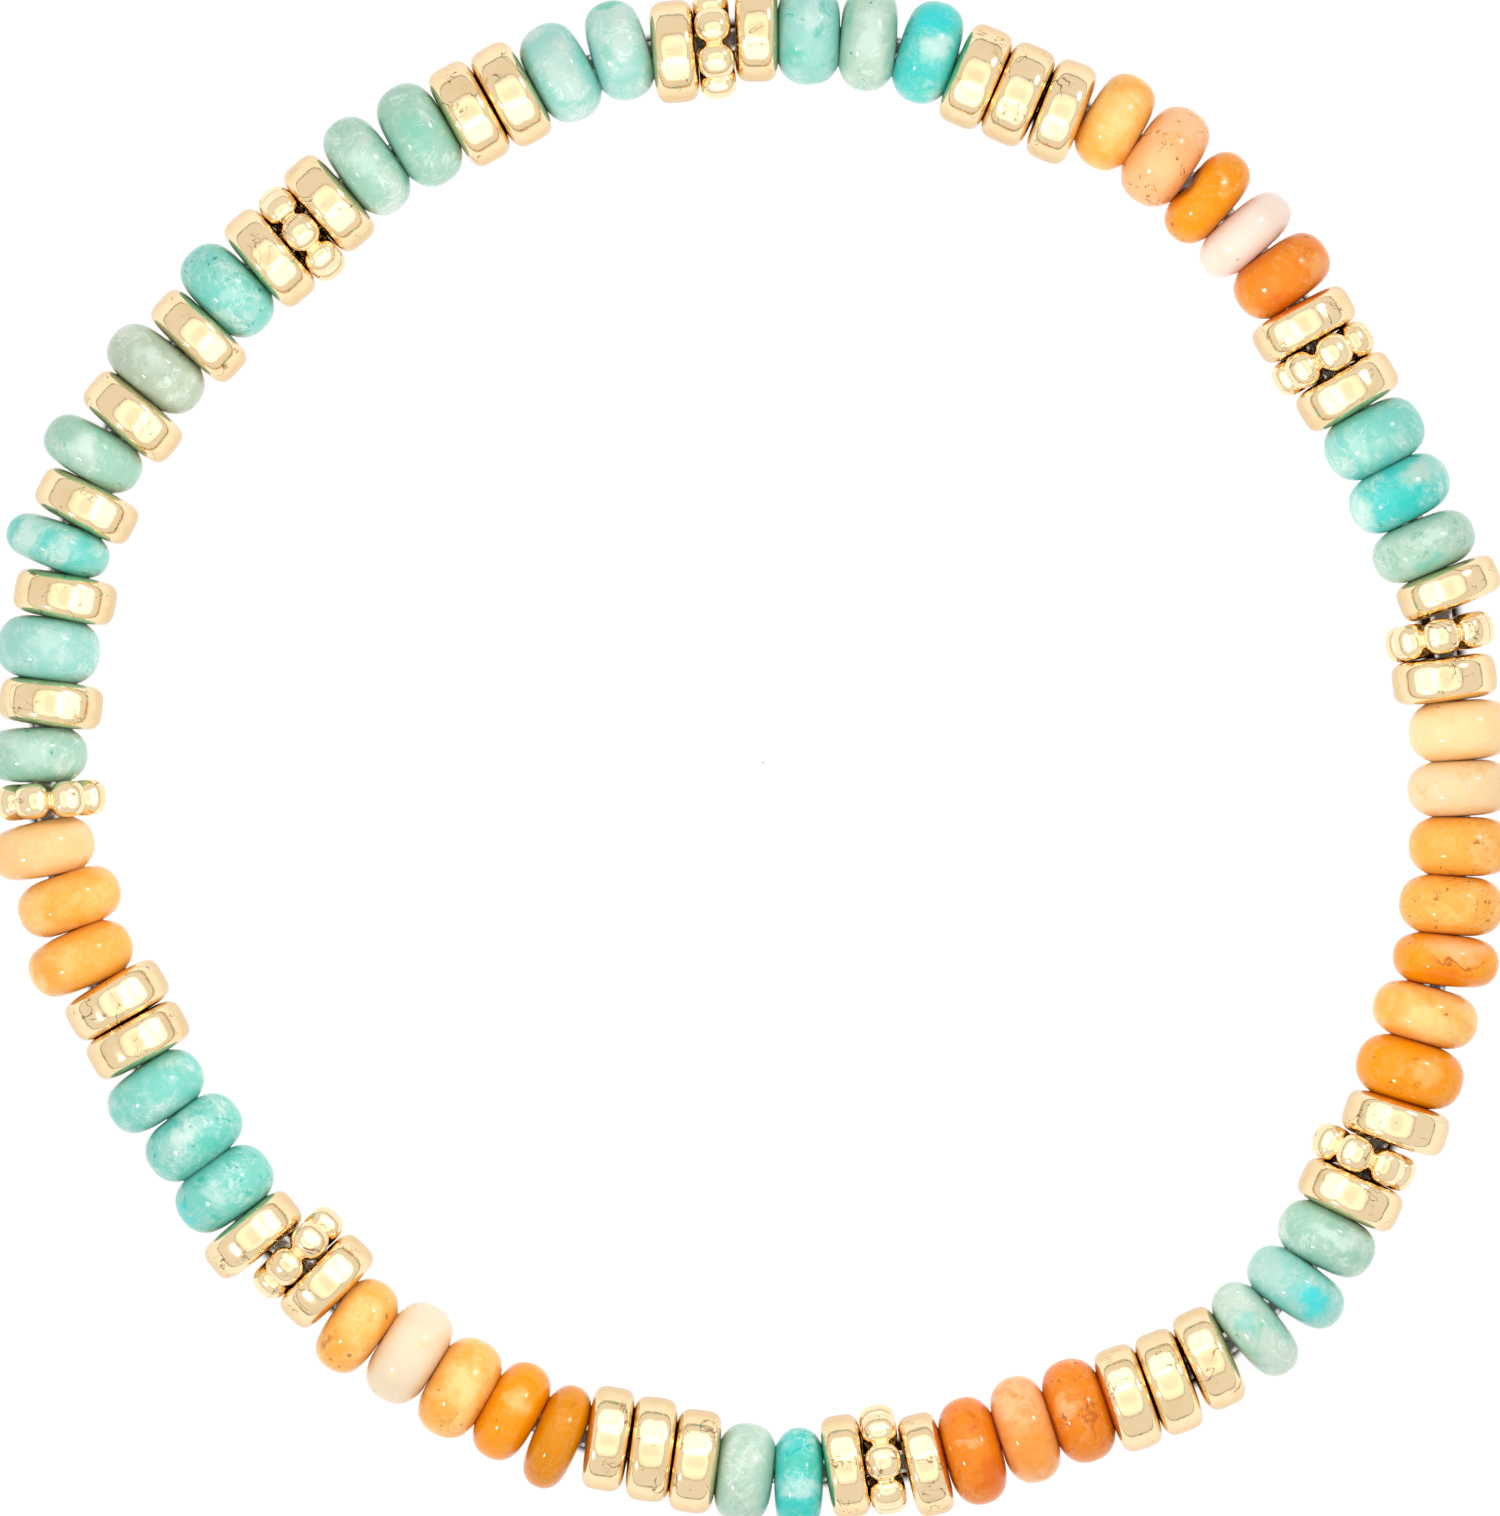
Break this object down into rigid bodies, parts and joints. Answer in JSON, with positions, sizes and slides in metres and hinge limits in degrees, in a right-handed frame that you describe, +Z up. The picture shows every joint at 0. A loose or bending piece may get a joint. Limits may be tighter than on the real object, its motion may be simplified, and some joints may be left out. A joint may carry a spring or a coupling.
{
  "type": "gemstone bead bracelet",
  "caption": "Stretch bracelet of drilled stone rondelles in blue-green and honey tints, with gold-coloured discs and daisy spacers on an elastic cord, lying as a closed loop.",
  "frame": {"origin": "on the surface that it rests on, under the middle of the loop's outline", "axes": "+Z up, along the wrist opening; +Y towards the top of the picture and +X towards its right"},
  "size_m": [0.0612, 0.0623, 0.0045],
  "materials": {
    "aqua_stone": "polished, cloudy and slightly translucent",
    "pale_aqua_stone": "polished, cloudy and slightly translucent",
    "turquoise_stone": "polished, cloudy and slightly translucent",
    "mint_stone": "polished, cloudy and slightly translucent",
    "sage_stone": "polished, cloudy and slightly translucent",
    "grey_sage_stone": "polished, cloudy and slightly translucent",
    "honey_stone": "polished, cloudy and slightly translucent",
    "pale_honey_stone": "polished, cloudy and slightly translucent",
    "cream_stone": "polished, cloudy and slightly translucent",
    "milk_pink_stone": "polished, cloudy and slightly translucent",
    "peach_stone": "polished, cloudy and slightly translucent",
    "amber_stone": "polished, cloudy and slightly translucent",
    "orange_stone": "polished, cloudy and slightly translucent",
    "dark_amber_stone": "polished, cloudy and slightly translucent",
    "gold_metal": "polished pale gold plating",
    "clear_elastic": "clear and smooth"
  },
  "bodies": {
    "root": {"aqua_stone_01": "pale_aqua_stone", "aqua_stone_02": "sage_stone", "aqua_stone_03": "turquoise_stone", "honey_stone_01": "honey_stone", "honey_stone_02": "peach_stone", "honey_stone_03": "amber_stone", "honey_stone_04": "milk_pink_stone", "honey_stone_05": "orange_stone", "aqua_stone_04": "aqua_stone", "aqua_stone_05": "turquoise_stone", "aqua_stone_06": "sage_stone", "honey_stone_06": "pale_honey_stone", "honey_stone_07": "cream_stone", "honey_stone_08": "honey_stone", "honey_stone_09": "honey_stone", "honey_stone_10": "amber_stone", "honey_stone_11": "honey_stone", "honey_stone_12": "amber_stone", "aqua_stone_07": "mint_stone", "aqua_stone_08": "pale_aqua_stone", "aqua_stone_09": "mint_stone", "honey_stone_13": "orange_stone", "honey_stone_14": "peach_stone", "honey_stone_15": "orange_stone", "aqua_stone_10": "turquoise_stone", "aqua_stone_11": "sage_stone", "honey_stone_16": "dark_amber_stone", "honey_stone_17": "amber_stone", "honey_stone_18": "honey_stone", "honey_stone_19": "cream_stone", "honey_stone_20": "honey_stone", "aqua_stone_12": "aqua_stone", "aqua_stone_13": "aqua_stone", "aqua_stone_14": "aqua_stone", "honey_stone_21": "honey_stone", "honey_stone_22": "honey_stone", "honey_stone_23": "pale_honey_stone", "aqua_stone_15": "mint_stone", "aqua_stone_16": "pale_aqua_stone", "aqua_stone_17": "aqua_stone", "aqua_stone_18": "mint_stone", "aqua_stone_19": "grey_sage_stone", "aqua_stone_20": "aqua_stone", "aqua_stone_21": "mint_stone", "aqua_stone_22": "mint_stone", "aqua_stone_23": "pale_aqua_stone", "aqua_stone_24": "pale_aqua_stone", "spacers_on_cord": "gold_metal"}
  },
  "joints": []
}
